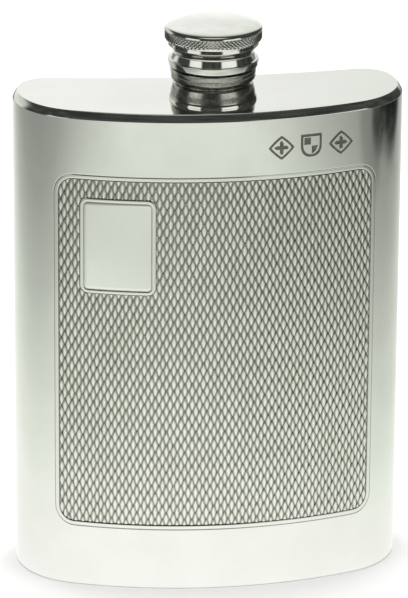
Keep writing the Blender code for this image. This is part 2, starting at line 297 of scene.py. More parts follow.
def front_heading(along):
    """The front's heading at a distance along it from its middle."""
    if abs(along) <= BOWED_HALF:
        return along / FRONT_RADIUS
    return math.copysign(FRONT_SWEEP + (abs(along) - BOWED_HALF) / END_RADIUS, along)


def shading_heading(along):
    """The front's heading averaged over a short stretch, so that reflections cross it smoothly."""
    spans = [along + SHADING_BLEND * i / 6 for i in range(-6, 7)]
    return sum(front_heading(a) for a in spans) / len(spans)


def wall_point(along, height, depth):
    """A place on the front wall, depth inwards from its surface."""
    heading = abs(front_heading(along))
    bowed = min(heading, FRONT_SWEEP)
    x = FRONT_RADIUS * math.sin(bowed) + END_RADIUS * (math.sin(heading) - math.sin(bowed))
    y = FRONT_Y + FRONT_RADIUS * (1 - math.cos(bowed))
    y += END_RADIUS * (math.cos(bowed) - math.cos(heading))
    x -= depth * math.sin(heading)
    y += depth * math.cos(heading)
    return Vector((math.copysign(x, along), y, height))


def rounded_loop(shape, inset, corner_steps=7, step=1.1 * MM):
    """A rounded rectangle drawn in by inset, its points in step with those at any other inset."""
    (a0, z0), (a1, z1), radius = shape["low"], shape["high"], shape["radius"]
    round_left, reach = max(radius - inset, 0.0), max(radius, inset)
    across = max(2, round((a1 - a0 - 2 * radius) / step))
    upright = max(2, round((z1 - z0 - 2 * radius) / (2 * step)))
    corners = ((a1, z0, 1, -1), (a1, z1, 1, 1), (a0, z1, -1, 1), (a0, z0, -1, -1))
    centres = [(a - out_a * reach, z - out_z * reach) for a, z, out_a, out_z in corners]

    def on_corner(k, degrees):
        angle = math.radians(degrees)
        return centres[k][0] + round_left * math.cos(angle), centres[k][1] + round_left * math.sin(angle)

    points = []
    for k in range(4):
        start = -90 + 90 * k
        points.extend(on_corner(k, start + 90 * i / corner_steps) for i in range(corner_steps + 1))
        last, end = points[-1], on_corner((k + 1) % 4, start + 90)
        count = across if k % 2 else upright
        for i in range(1, count):
            points.append(tuple(p + (q - p) * i / count for p, q in zip(last, end)))
    return points


def inside_loop(point, shape, inset=0.0):
    """Whether a point lies inside the rounded rectangle drawn in by inset."""
    (a0, z0), (a1, z1), radius = shape["low"], shape["high"], shape["radius"]
    dx = max(a0 + radius - point[0], point[0] - a1 + radius)
    dz = max(z0 + radius - point[1], point[1] - z1 + radius)
    if dx > 0 and dz > 0:
        return math.hypot(dx, dz) < radius - inset
    return max(dx, dz) < radius - inset


def mark_loop(centre, points, scale=1.0):
    """Points about the origin, scaled and moved to a centre."""
    return [(centre[0] + scale * a, centre[1] + scale * z) for a, z in points]


def lozenge_outline(half_width, half_height, steps=40, power=1.12):
    """An upright lozenge with sides that bow outwards a little."""
    points = []
    for i in range(steps):
        angle = 2 * math.pi * i / steps
        c, s = math.cos(angle), math.sin(angle)
        reach = (abs(c / half_width) ** power + abs(s / half_height) ** power) ** (-1 / power)
        points.append((reach * c, reach * s))
    return points


def shield_outline(half_width, half_height):
    """A plain heater shield: a straight top, upright sides and a pointed foot."""
    top = [(half_width * (1 - i / 5), half_height) for i in range(10)]
    left = [(-half_width, half_height * (1 - i / 4)) for i in range(4)]
    for i in range(10):
        t = math.pi / 2 * i / 10
        left.append((-half_width * math.cos(t) ** 0.85, -half_height * math.sin(t)))
    right = [(-a, z) for a, z in reversed(left[1:])]
    return top + left + [(0.0, -half_height)] + right


def four_petals(reach, steps=32):
    """A plain flower of four petals that point up, down and sideways."""
    points = []
    for i in range(steps):
        turn = 2 * math.pi * i / steps
        size = reach * (0.67 + 0.33 * math.cos(4 * turn))
        points.append((size * math.cos(turn), size * math.sin(turn)))
    return points


def marks():
    """Three small punched marks with plain motifs, as (loop, depth, sunk) from the outside in."""
    loops = []

    def stroke(centre, points, outer=0.97, inner=0.80, slope=0.035):
        """A sunken line between two scales of a closed shape."""
        for scale, depth, sunk in (
            (outer + slope, 0.0, 0.0), (outer, MARK_DEPTH, 1.0),
            (inner, MARK_DEPTH, 1.0), (inner - slope, 0.0, 0.1),
        ):
            loops.append((mark_loop(centre, points, scale), depth, sunk))

    def sunken(centre, points, draw_in):
        """A sunken shape, its floor drawn in towards its middle."""
        middle = tuple(sum(p[k] for p in points) / len(points) for k in (0, 1))
        floor_points = [tuple(m + draw_in * (v - m) for m, v in zip(middle, p)) for p in points]
        loops.append((mark_loop(centre, points), 0.0, 0.1))
        loops.append((mark_loop(centre, floor_points), MARK_DEPTH, 1.0))

    lozenge, shield = lozenge_outline(2.8 * MM, 2.62 * MM), shield_outline(2.35 * MM, 2.5 * MM)
    near, wide, tall = 0.09 * MM, 1.58 * MM, 1.8 * MM
    upper_quarter = [(-wide, near), (-near, near), (-near, tall), (-wide, tall)]
    lower_quarter = [(near, -near), (near, -tall), (0.55 * wide, -0.72 * tall), (0.95 * wide, -near)]
    for centre, shape in zip(MARK_PLACES, (lozenge, shield, lozenge)):
        stroke(centre, shape)
        if shape is lozenge:
            sunken(centre, four_petals(1.62 * MM), 0.84)
        else:
            sunken(centre, upper_quarter, 0.85)
            sunken(centre, lower_quarter, 0.85)
    return loops


def wall_grid():
    """The columns and rows of the front sheet's grid, closer together round the ends."""
    columns = [0.0]
    while columns[-1] < SEAM - 0.4 * MM:
        columns.append(columns[-1] + (1.3 * MM if columns[-1] < BOWED_HALF else 0.55 * MM))
    columns = [c * SEAM / columns[-1] for c in columns]
    columns = [-c for c in reversed(columns[1:])] + columns
    rows = [WALL_LOW + (WALL_HIGH - WALL_LOW) * i / 34 for i in range(35)]
    return columns, rows


def grid_point(a, z):
    """(depth, sunk) of a grid point, or None where it is too near a bead or mark, or adds nothing."""
    clear, outside_border, inside_border, round_window = 0.45 * MM, 0.34 * MM, 2 * MM, 1.4 * MM
    if inside_loop((a, z), PANEL, -outside_border - clear):
        if inside_loop((a, z), WINDOW, WINDOW_FRAME[-1][0] * MM + clear):
            return WINDOW_FLOOR, 0.0
        in_border = inside_loop((a, z), PANEL, inside_border)
        on_field = in_border and not inside_loop((a, z), WINDOW, -round_window)
        return (FIELD_DEPTH, 1.0) if on_field and round(z / MM) % 2 == 0 else None
    if MARKS_LOW[0] < a < MARKS_HIGH[0] and MARKS_LOW[1] < z < MARKS_HIGH[1]:
        return None
    return 0.0, 0.0


def front_wall(material):
    """The front sheet: plain wall, border and window beads, a recess for the engine turning and the marks."""
    coords, edges, depths, sunk_values = [], [], [], []

    def add_point(point, depth, sunk):
        coords.append(Vector(point))
        depths.append(depth)
        sunk_values.append(sunk)

    def add_loop(points, depth, sunk):
        first, count = len(coords), len(points)
        for i, point in enumerate(points):
            add_point(point, depth, sunk)
            edges.append((first + i, first + (i + 1) % count))

    columns, rows = wall_grid()
    rim = [(a, rows[0]) for a in columns] + [(columns[-1], z) for z in rows[1:]]
    rim += [(a, rows[-1]) for a in reversed(columns[:-1])] + [(columns[0], z) for z in reversed(rows[1:-1])]
    add_loop(rim, 0.0, 0.0)
    for inset, depth, sunk in BORDER:
        add_loop(rounded_loop(PANEL, inset * MM), depth * MM, sunk)
    for inset, depth, sunk in WINDOW_FRAME:
        add_loop(rounded_loop(WINDOW, inset * MM, 5), depth * MM, sunk)
    for loop, depth, sunk in marks():
        add_loop(loop, depth, sunk)
    for a in columns[1:-1]:
        for z in rows[1:-1]:
            values = grid_point(a, z)
            if values:
                add_point((a, z), *values)
    flat, _, faces, origins, _, _ = delaunay_2d_cdt(coords, edges, [], 0, 1e-7)
    depth_of = [depths[o[0]] for o in origins]
    sunk_of = [sunk_values[o[0]] for o in origins]
    headings = [shading_heading(p[0]) for p in flat]
    level = [max(depth_of[i] for i in f) - min(depth_of[i] for i in f) < 1e-9 for f in faces]

    # The inside face and the edges close the sheet. The inside vertices follow the rim, in its order.
    count = len(flat)
    verts = [wall_point(p[0], p[1], d) for p, d in zip(flat, depth_of)]
    verts += [wall_point(a, z, WALL) for a, z in rim]
    faces = [tuple(f) for f in faces]
    faces += inner_faces([(a, z, count + k) for k, (a, z) in enumerate(rim)])
    outer_of = {k: i for i, o in enumerate(origins) for k in o if k < len(rim)}
    for k in range(len(rim)):
        after = (k + 1) % len(rim)
        faces.append((outer_of[after], outer_of[k], count + k, count + after))

    mesh = bpy.data.meshes.new("front_wall")
    mesh.from_pydata(verts, [], faces)
    sunk = mesh.attributes.new("sunk", "FLOAT", "POINT")
    sunk.data.foreach_set("value", sunk_of + [0.0] * len(rim))
    mesh.shade_smooth()
    mesh.set_sharp_from_angle(angle=math.radians(48))
    normals = []
    for k, polygon in enumerate(mesh.polygons):
        for i in polygon.vertices:
            on_surface = k < len(level) and depth_of[i] < 1e-9 and sunk_of[i] < 1e-9
            if (k < len(level) and level[k]) or on_surface:
                normals.append((math.sin(headings[i]), -math.cos(headings[i]), 0.0))
            else:
                normals.append((0.0, 0.0, 0.0))  # a zero normal leaves the automatic one
    mesh.normals_split_custom_set(normals)
    return finish_piece("front_wall", mesh, material, "flask", "front_shell")


def inner_faces(rim):
    """Upright strips over the inside of a sheet, from its rim as (along, height, vertex)."""

    def side(along, end):
        """The vertices on one side of the rim, in order along it."""
        place = end(point[1 - along] for point in rim)
        on_it = [point for point in rim if abs(point[1 - along] - place) < 1e-9]
        return [point[2] for point in sorted(on_it, key=lambda point: point[along])]

    bottom, top, left, right = side(0, min), side(0, max), side(1, min), side(1, max)
    faces = [(bottom[i + 1], bottom[i], top[i], top[i + 1]) for i in range(1, len(top) - 2)]
    faces.append((bottom[1], *left, top[1]))
    faces.append((top[-2], *reversed(right), bottom[-2]))
    return faces


# Rings of a lozenge: share of the cell, then depth at its ends, flanks and four sides, in millimetres
LOZENGE_RINGS = (
    (1.0, 0.17, 0.27, 0.17), (0.80, 0.07, 0.22, 0.125), (0.55, 0.012, 0.13, 0.065), (0.30, 0.0, 0.036, 0.012),
)
CLEAN_DEPTH, TARNISH_DEPTH = 0.012, 0.2  # where tarnish begins, and how much deeper it is full
CELL_CORNERS = ((1, 0), (0.5, 0.5), (0, 1), (-0.5, 0.5), (-1, 0), (-0.5, -0.5), (0, -1), (0.5, -0.5))


def lozenge_field(hole):
    """Vertices and faces of the lozenges on a flat sheet that reaches past the border and into the hole."""
    verts, faces = [], []
    half_along, half_up = PITCH_ALONG / 2, PITCH_UP / 2
    (left, low), (right, high) = PANEL["low"], PANEL["high"]
    middle, well_inside = (low + high) / 2, 1.6 * MM
    uneven = random.Random(7)
    rows_each_way = math.ceil((high - low) / 2 / half_up) + 1
    columns_each_way = math.ceil((right - left) / 2 / PITCH_ALONG) + 1
    for j in range(-rows_each_way, rows_each_way + 1):
        for i in range(-columns_each_way, columns_each_way + 1):
            a, z = (i + 0.5 * (j % 2)) * PITCH_ALONG, middle + j * half_up
            far = abs(a) > right + half_along or not low - half_up < z < high + half_up
            if far or inside_loop((a, z), hole, well_inside):
                continue
            first = len(verts)
            wear = uneven.uniform(0.8, 1.2)
            for scale, end_depth, flank_depth, side_depth in LOZENGE_RINGS:
                for p, q in CELL_CORNERS:
                    depth = side_depth if p * q else flank_depth if p else end_depth
                    depth *= 1.0 if scale == 1.0 else wear
                    verts.append((a + scale * p * half_along, z + scale * q * half_up, -depth * MM))
            verts.append((a, z, 0.0))
            for ring in range(len(LOZENGE_RINGS) - 1):
                for k in range(8):
                    p, q = first + 8 * ring + k, first + 8 * ring + (k + 1) % 8
                    faces.append((p, q, q + 8, p + 8))
            inner = first + 8 * (len(LOZENGE_RINGS) - 1)
            faces.extend((inner + k, inner + (k + 1) % 8, len(verts) - 1) for k in range(8))
    return verts, faces


def tangents(shape, inset, corner_steps):
    """Lines that bound a rounded rectangle: point, outward direction, and the corner's signs and centre."""
    (a0, z0), (a1, z1), radius = shape["low"], shape["high"], shape["radius"]
    for out_a, out_z in ((1, 1), (-1, 1), (-1, -1), (1, -1)):
        corner = (a1 if out_a > 0 else a0, z1 if out_z > 0 else z0)
        centre = (corner[0] - out_a * radius, corner[1] - out_z * radius)
        for i in range(corner_steps + 1):
            angle = math.pi / 2 * i / corner_steps
            direction = (out_a * math.cos(angle), out_z * math.sin(angle))
            point = tuple(c + (radius - inset) * d for c, d in zip(centre, direction))
            yield point, direction, (out_a, out_z), centre


def engine_turning(material):
    """The field of raised lozenges inside the border, cut off cleanly at the border and round the window."""
    hole = dict(
        low=tuple(v - WINDOW_GAP for v in WINDOW["low"]), high=tuple(v + WINDOW_GAP for v in WINDOW["high"]),
        radius=WINDOW["radius"] + WINDOW_GAP,
    )
    verts, faces = lozenge_field(hole)
    mesh = bpy.data.meshes.new("engine_turning")
    mesh.from_pydata(verts, [], faces)
    bm = bmesh.new()
    bm.from_mesh(mesh)
    bmesh.ops.remove_doubles(bm, verts=bm.verts, dist=1e-6)

    def cut(point, direction, keep_out=False, near=None):
        """Splits the faces near a line, or all of them. keep_out also drops what lies past the line."""
        chosen = [f for f in bm.faces if near is None or near(f.calc_center_median())]
        geometry = set(chosen) | {e for f in chosen for e in f.edges} | {v for f in chosen for v in f.verts}
        bmesh.ops.bisect_plane(
            bm, geom=list(geometry), plane_co=(*point, 0), plane_no=(*direction, 0), clear_outer=keep_out,
        )

    for point, direction, _, _ in tangents(PANEL, FIELD_INSET, 8):
        cut(point, direction, keep_out=True)
    window_reach = 2.2 * MM
    for point, direction, (out_a, out_z), centre in tangents(hole, 0.03 * MM, 4):
        straight = min(abs(direction[0]), abs(direction[1])) < 1e-6

        def by_window(c):
            at_corner = (c[0] - centre[0]) * out_a > -1e-6 and (c[1] - centre[1]) * out_z > -1e-6
            return inside_loop(c, hole, -window_reach) and (straight or at_corner)

        cut(point, direction, near=by_window)
    inside = [f for f in bm.faces if inside_loop(f.calc_center_median(), hole, 0.02 * MM)]
    bmesh.ops.delete(bm, geom=inside, context="FACES")
    loose = [v for v in bm.verts if not v.link_faces]
    bmesh.ops.delete(bm, geom=loose, context="VERTS")
    rim = [e for e in bm.edges if e.is_boundary]
    skirt = bmesh.ops.extrude_edge_only(bm, edges=rim)["geom"]
    for v in skirt:
        if isinstance(v, bmesh.types.BMVert):
            v.co.z = -(FIELD_DEPTH + 0.02 * MM)
    bmesh.ops.recalc_face_normals(bm, faces=bm.faces)
    layer = bm.verts.layers.float.new("sunk")
    for v in bm.verts:
        v[layer] = min(1.0, max(0.0, (-v.co.z / MM - CLEAN_DEPTH) / TARNISH_DEPTH))
        v.co = wall_point(v.co.x, v.co.y, -v.co.z)
    return finish_piece("engine_turning", smooth(bm, mesh, 34), material, "flask", None)


def bridge(bm, low, high):
    """Faces between two closed rings of equal count. A ring may also be one vertex repeated."""
    for i in range(len(low)):
        j = (i + 1) % len(low)
        corners = list(dict.fromkeys((low[i], low[j], high[j], high[i])))
        if len(corners) > 2:
            bm.faces.new(corners)


def smooth(bm, mesh, angle):
    """Writes a bmesh to a mesh, smooth but for edges sharper than an angle in degrees."""
    bm.to_mesh(mesh)
    bm.free()
    mesh.shade_smooth()
    mesh.set_sharp_from_angle(angle=math.radians(angle))
    return mesh


def rear_wall(material):
    """The hollow back sheet, closed against the front sheet along both ends."""
    path = [p for p in outline() if p[2] >= math.pi / 2 - 1e-9 or p[2] <= -math.pi / 2 + 1e-9]
    start = next(i for i, p in enumerate(path) if p[2] > 0)
    rows = [WALL_LOW + (WALL_HIGH - WALL_LOW) * i / 8 for i in range(9)]
    levels = [(0.0, z) for z in rows] + [(WALL, z) for z in reversed(rows)]
    bm = bmesh.new()
    rings = []
    for x, y, heading in path[start:] + path[:start]:
        out = (math.sin(heading), -math.cos(heading))
        rings.append([bm.verts.new((x - depth * out[0], y - depth * out[1], z)) for depth, z in levels])
    for low, high in zip(rings, rings[1:]):
        bridge(bm, low, high)
    bm.faces.new(rings[0])
    bm.faces.new(rings[-1])
    bmesh.ops.remove_doubles(bm, verts=bm.verts, dist=1e-7)
    bmesh.ops.recalc_face_normals(bm, faces=bm.faces)
    mesh = smooth(bm, bpy.data.meshes.new("rear_wall"), 40)
    return finish_piece("rear_wall", mesh, material, "flask", "rear_shell")


def plate_mesh(name, levels, hole_levels=None):
    """A plate with the body's outline and exact normals.

    levels are (inset, height, lean) from its flat underside to its flat top, lean being how far the normal is
    tipped upwards, in radians. hole_levels are (radius, height) through the hole for the neck.
    """
    path = outline()
    bm = bmesh.new()
    rings, normal_of = [], {}
    for inset, z, lean in levels:
        ring = []
        for x, y, h in path:
            ring.append(bm.verts.new((x - inset * math.sin(h), y + inset * math.cos(h), z)))
            flat_share = math.cos(lean)
            normal_of[ring[-1]] = (flat_share * math.sin(h), -flat_share * math.cos(h), math.sin(lean))
        rings.append(ring)
    for low, high in zip(rings, rings[1:]):
        bridge(bm, low, high)
    if hole_levels is None:
        bm.faces.new(reversed(rings[0]))
        bm.faces.new(rings[-1])
    else:
        turns, holes = 96, []
        for radius, z in hole_levels:
            ring = []
            for i in range(turns):
                c, s = math.cos(2 * math.pi * i / turns), math.sin(2 * math.pi * i / turns)
                ring.append(bm.verts.new((radius * c, NECK_Y + radius * s, z)))
                normal_of[ring[-1]] = (-c, -s, 0.0)
            holes.append(ring)
        for low, high in zip(holes, holes[1:]):
            bridge(bm, low, high)
        for outer, inner in ((rings[0], holes[0]), (rings[-1], holes[-1])):
            pairs = [(ring[i], ring[i - 1]) for ring in (outer, inner) for i in range(len(ring))]
            edges = [bm.edges.get(pair) for pair in pairs]
            bmesh.ops.triangle_fill(bm, edges=edges, use_beauty=True)
    bmesh.ops.recalc_face_normals(bm, faces=bm.faces)
    bm.verts.index_update()
    by_index = {v.index: normal for v, normal in normal_of.items()}
    mesh = smooth(bm, bpy.data.meshes.new(name), 40)
    normals = []
    for polygon in mesh.polygons:
        flat = abs(polygon.normal.z) > 0.9999
        for i in polygon.vertices:
            normals.append(tuple(polygon.normal) if flat else by_index[i])
    mesh.normals_split_custom_set(normals)
    return mesh


def bevelled_edge():
    """(inset, height, lean) up the shoulder's broad crowned bevel, with a small rounding at both borders."""
    inset, height, levels = 0.0, WALL_HIGH + 0.25 * MM, []
    spans = ((0.3 * MM, 0, 27, 5), (5.0 * MM, 27, 46, 10), (0.28 * MM, 46, 90, 6))  # radius, leans and steps
    for size, start, end, steps in spans:
        first, last = math.radians(start), math.radians(end)
        for i in range(steps):
            lean = math.radians(start + (end - start) * i / steps)
            across = size * (math.cos(first) - math.cos(lean))
            levels.append((inset + across, height + size * (math.sin(lean) - math.sin(first)), lean))
        inset += size * (math.cos(first) - math.cos(last))
        height += size * (math.sin(last) - math.sin(first))
    levels.append((inset, height, math.pi / 2))
    drop = BODY_HEIGHT - height
    return [(0.0, WALL_HIGH, 0.0)] + [(inset, height + drop, lean) for inset, height, lean in levels]


def shoulder(material):
    """The top plate with its bevelled edge and the hole for the neck."""
    hole = 6.3 * MM
    mesh = plate_mesh("shoulder", bevelled_edge(), [(hole, WALL_HIGH), (hole, BODY_HEIGHT)])
    return finish_piece("shoulder", mesh, material, "flask", "top_plate")


def foot(material):
    """The flat base plate with a small rounded edge."""
    radius, levels = 0.7 * MM, []
    for i in range(7, -1, -1):
        angle = math.pi / 2 * i / 7
        levels.append((radius * (1 - math.cos(angle)), radius - radius * math.sin(angle), -angle))
    levels.append((0.0, WALL_LOW, 0.0))
    return finish_piece("foot", plate_mesh("foot", levels), material, "flask", "base_plate")


# Turned pieces: profiles of (radius, height over the shoulder, tarnish), in millimetres; on the ferrule the
# tarnish values also paint shade under the cap

KNURL_LOW, KNURL_HIGH, KNURL_TEETH, KNURL_DEPTH = 12.9, 14.9, 76, 0.26
KNURL_RISE = 0.72  # height in which a tooth moves on by one
KNURL_FADE, KNURL_RUN_OUT = 0.15, 0.9  # the heights in which the cuts fade at the band's top and at its foot
KNURL_RADIUS = 9.78  # points nearer the axis than this are left uncut
THREAD_PITCH = 2.0
THREAD_SECTION = (  # share of the thread's depth, and height, round its rounded crest
    (0.0, -0.46), (0.45, -0.33), (0.85, -0.22), (1.0, -0.09),
    (1.0, 0.09), (0.85, 0.22), (0.45, 0.33), (0.0, 0.46),
)


def arc(radius, height, size, start, end, steps, sunk=0.0):
    """Points on a circle of the given size, angles in degrees from straight outwards."""
    angles = [math.radians(start + (end - start) * i / steps) for i in range(steps + 1)]
    return [(radius + size * math.cos(a), height + size * math.sin(a), sunk) for a in angles]


def turned(name, profile, turns, relief=None, sharp=32):
    """A profile turned about the neck's axis. relief(turn, height) gives how far a point is cut inwards."""
    bm = bmesh.new()
    layer = bm.verts.layers.float.new("sunk")
    rings = []
    for radius, height, sunk in profile:
        if radius < 1e-6:
            v = bm.verts.new((0, NECK_Y, BODY_HEIGHT + height * MM))
            v[layer] = sunk
            rings.append([v] * turns)
            continue
        ring = []
        for i in range(turns):
            turn = i / turns
            cut = relief(turn, height) if relief and radius > KNURL_RADIUS else 0.0
            r, angle = (radius - cut) * MM, 2 * math.pi * turn
            z = BODY_HEIGHT + height * MM
            v = bm.verts.new((r * math.cos(angle), NECK_Y + r * math.sin(angle), z))
            v[layer] = max(sunk, min(0.8, max(0.0, cut - 0.08) / 0.2))  # cuts past 0.08 mm begin to tarnish
            ring.append(v)
        rings.append(ring)
    pairs = list(zip(rings, rings[1:]))
    if profile[0][0] > 0:
        pairs.append((rings[-1], rings[0]))
    for low, high in pairs:
        bridge(bm, low, high)
    bmesh.ops.recalc_face_normals(bm, faces=bm.faces)
    return smooth(bm, bpy.data.meshes.new(name), sharp)


def ferrule(material):
    """The ring round the neck: a collar that the cap closes on, then a waist, a bead and a flared foot."""
    profile = [
        # The third values darken the collar, the waist and the top face: partly tarnish, partly painted shade
        # under the cap's rim
        (6.3, 7.0, 0.8), (8.7, 7.0, 0.9),
        *arc(8.68, 6.75, 0.25, 90, 0, 6, 0.5),
        (8.91, 6.3, 0.65), (8.90, 6.0, 0.65), (8.88, 5.92, 0.5),
        (8.80, 5.84, 0.3), (8.82, 5.75, 0.3), (8.82, 5.62, 0.8),
        *arc(7.95, 5.2, 0.87, 0, -75, 12, 0.85),
        *arc(7.85, 3.88, 0.25, 120, 235, 7, 0.9),
        *arc(7.95, 3.18, 0.42, 70, 17, 6, 0.65),
        (8.60, 2.5, 0.7), (8.68, 2.1, 0.9), (8.79, 1.25, 0.9),
        *arc(7.75, 0.0, 1.45, 40, 25, 4, 0.6),
        *arc(7.75, 0.0, 1.45, 22, 2, 8),
        (9.2, 0.0, 0.0), (6.3, 0.0, 1.0),
    ]
    mesh = turned("ferrule", profile, 144)
    return finish_piece("ferrule", mesh, material, "flask", "neck_ferrule")


def knurl(turn, height):
    """Depth of the crossed knurling on the cap's rim, fading out at both ends of its band."""
    if not KNURL_LOW - KNURL_FADE < height < KNURL_HIGH + KNURL_FADE:
        return 0.0
    lead = (height - KNURL_LOW) / KNURL_RISE

    def ridge(phase):
        return 1 - abs(2 * (phase % 1.0) - 1)

    tooth = min(ridge(turn * KNURL_TEETH + lead), ridge(turn * KNURL_TEETH - lead))
    from_foot, to_top = height - KNURL_LOW + KNURL_FADE, KNURL_HIGH + KNURL_FADE - height
    ends = min(1.0, from_foot / KNURL_RUN_OUT, to_top / KNURL_FADE)
    return KNURL_DEPTH * (1 - tooth) * max(0.0, ends)


def cap(material):
    """The turned cap: a low dome, a knurled rim over a small ridge, a cove, and a ring at its mouth."""
    rows, top, low = 26, 15.05, 13.5
    crown, crown_drop, crown_radius = 16.1, 0.24, 9.2
    profile = [
        *[(crown_radius * i / 8, crown - crown_drop * (i / 8) ** 2, 0.0) for i in range(9)],
        *arc(9.38, top, 0.77, 85, 6, 8),
        *[(10.15, top + (low - top) * i / rows, 0.0) for i in range(rows + 1)],
        *arc(9.25, low, 0.9, -3, -42, 9),
        (9.70, 12.86, 0.5), (9.2, 12.80, 0.7), (9.22, 12.72, 0.2),
        *arc(9.3, 12.0, 0.15, 17, -50, 6),
        *arc(8.95, 10.3, 0.6, 140, 196, 10),
        (8.80, 8.97, 0.0), (8.86, 8.94, 0.3),
        *arc(9.25, 8.78, 0.2, 88, -6, 7),
        *arc(9.0, 7.75, 0.38, -8, -20, 3),
        *arc(9.0, 7.75, 0.38, -30, -90, 6, 0.35),
        (7.3, 7.3, 0.8), (7.3, 13.6, 0.8), (0.0, 13.6, 0.8),
    ]
    mesh = turned("cap", profile, KNURL_TEETH * 6, knurl, 36)
    return finish_piece("cap", mesh, material, "cap", "cap_body")


def thread_ridge(bm, layer, root, tip, start, turns, turn_offset=0.0, steps=72, fade=0.2):
    """Adds a right-hand helical ridge with a rounded crest, fading out at both ends, to a bmesh."""
    rings = []
    for i in range(round(turns * steps) + 1):
        turn = i / steps
        rise = max(min(1.0, turn / fade, (turns - turn) / fade), 0.02)
        angle = 2 * math.pi * (turn + turn_offset)
        ring = []
        for out, up in THREAD_SECTION:
            r = (root + (tip - root) * out * rise) * MM
            z = BODY_HEIGHT + (start + THREAD_PITCH * turn + up * (0.4 + 0.6 * rise)) * MM
            v = bm.verts.new((r * math.cos(angle), NECK_Y + r * math.sin(angle), z))
            v[layer] = 0.5 * (1 - out)
            ring.append(v)
        rings.append(ring)
    for low, high in zip(rings, rings[1:]):
        for k in range(len(THREAD_SECTION)):
            bm.faces.new((low[k], low[k - 1], high[k - 1], high[k]))
    bm.faces.new(rings[0])
    bm.faces.new(reversed(rings[-1]))


def with_thread(mesh, **ridge):
    """A turned mesh with a thread added to it."""
    bm = bmesh.new()
    bm.from_mesh(mesh)
    layer = bm.verts.layers.float["sunk"]
    thread_ridge(bm, layer, **ridge)
    bmesh.ops.recalc_face_normals(bm, faces=bm.faces)
    return smooth(bm, mesh, 34)


def neck(material):
    """The pouring tube with its flange under the shoulder and the screw thread above the cap's seat."""
    flange = (WALL_HIGH - BODY_HEIGHT) / MM - 0.3
    profile = [
        (4.9, 12.4, 0.0),
        *arc(5.3, 12.1, 0.3, 90, 0, 6),
        (5.6, 7.4, 0.7), (6.0, 7.0, 0.8), (6.0, flange, 0.5), (7.6, flange, 0.5), (7.6, flange - 1.3, 0.5),
        (4.6, flange - 1.3, 0.5), (4.6, 12.1, 0.3),
        *arc(4.9, 12.1, 0.3, 170, 100, 4),
    ]
    mesh = with_thread(turned("neck", profile, 120), root=5.45, tip=6.25, start=8.0, turns=1.75)
    return finish_piece("neck", mesh, material, "flask", "threaded_neck")


def sleeve(material):
    """The threaded sleeve inside the cap."""
    profile = [
        (6.55, 12.3, 0.5), (7.0, 12.3, 0.2), (7.0, 7.6, 0.2),
        *arc(6.9, 7.7, 0.1, -90, -180, 3, 0.2), (6.55, 7.9, 0.3),
    ]
    plain = turned("sleeve", profile, 120)
    mesh = with_thread(plain, root=6.7, tip=5.9, start=8.2, turns=1.75, turn_offset=0.6)
    return finish_piece("sleeve", mesh, material, "cap", "cap_insert")


def seal(material):
    """The soft disc under the cap's top, with a shallow groove where the lip of the neck has pressed it."""
    profile = [
        (0.0, 13.3, 0.0), (6.7, 13.3, 0.0),
        *arc(6.75, 13.15, 0.15, 90, 0, 3), *arc(6.75, 12.85, 0.15, 0, -90, 3),
        (5.7, 12.7, 0.0), (5.5, 12.73, 0.0), (4.9, 12.73, 0.0), (4.7, 12.7, 0.0), (0.0, 12.7, 0.0),
    ]
    return finish_piece("seal_disc", turned("seal_disc", profile, 96), material, "seal", "cap_seal")


def build_flask():
    """Makes the materials and every piece."""
    wall = polished_metal("pewter_wall", (0.86, 0.865, 0.83), (0.80, 0.80, 0.765), 0.07, 0.05)
    plate = polished_metal(
        "pewter_plate", (0.86, 0.865, 0.84), (0.81, 0.81, 0.78), 0.08, 0.05, scratch=(54000, 2400, 2400),
    )
    engraved = polished_metal(
        "pewter_engine_turned", (0.86, 0.865, 0.815), (0.80, 0.80, 0.74), 0.12, 0.05,
        film=(0.47, 0.48, 0.42), tarnish=(0.21, 0.22, 0.185),
    )
    lathe = turned_metal("pewter_turned", (0.84, 0.845, 0.81), (0.74, 0.745, 0.70), 0.055, 0.00009)
    nickel = turned_metal("nickel_thread", (0.66, 0.63, 0.56), (0.55, 0.52, 0.46), 0.2, 0.00012, 0.25)
    front_wall(wall)
    engine_turning(engraved)
    rear_wall(wall)
    shoulder(plate)
    foot(plate)
    ferrule(lathe)
    cap(lathe)
    neck(nickel)
    sleeve(nickel)
    seal(seal_material())


# Studio


def staged(name, mesh, material):
    thing = added(name, mesh)
    mesh.materials.append(material)
    return thing


def sheet_mesh(name, size, z=0.0):
    """A level square about the Z axis."""
    half = size / 2
    mesh = bpy.data.meshes.new(name)
    corners = ((-half, -half, z), (half, -half, z), (half, half, z), (-half, half, z))
    mesh.from_pydata(corners, [], [(0, 1, 2, 3)])
    return mesh


def floor():
    n = Nodes("pale_floor")
    tone = n.spread(n.noise(4, 2), 0.3, 0.7, 0, 1)
    n.link(n.mix(tone, (0.80, 0.80, 0.79), (0.82, 0.82, 0.81)), n.shader.inputs["Base Color"])
    n.shader.inputs["Roughness"].default_value = 0.9
    n.shader.inputs["Specular IOR Level"].default_value = 0.0
    staged("floor", sheet_mesh("floor", 24.0), n.material)


def smooth_box(n, value, low, high, soft=3):
    """1 where low < value < high, falling smoothly to 0 at both ends, soft degrees to either side of each."""
    rise = n.spread(value, low - soft, low + soft, 0, 1)
    fall = n.spread(value, high - soft, high + soft, 1, 0)
    return n.times(rise, fall)


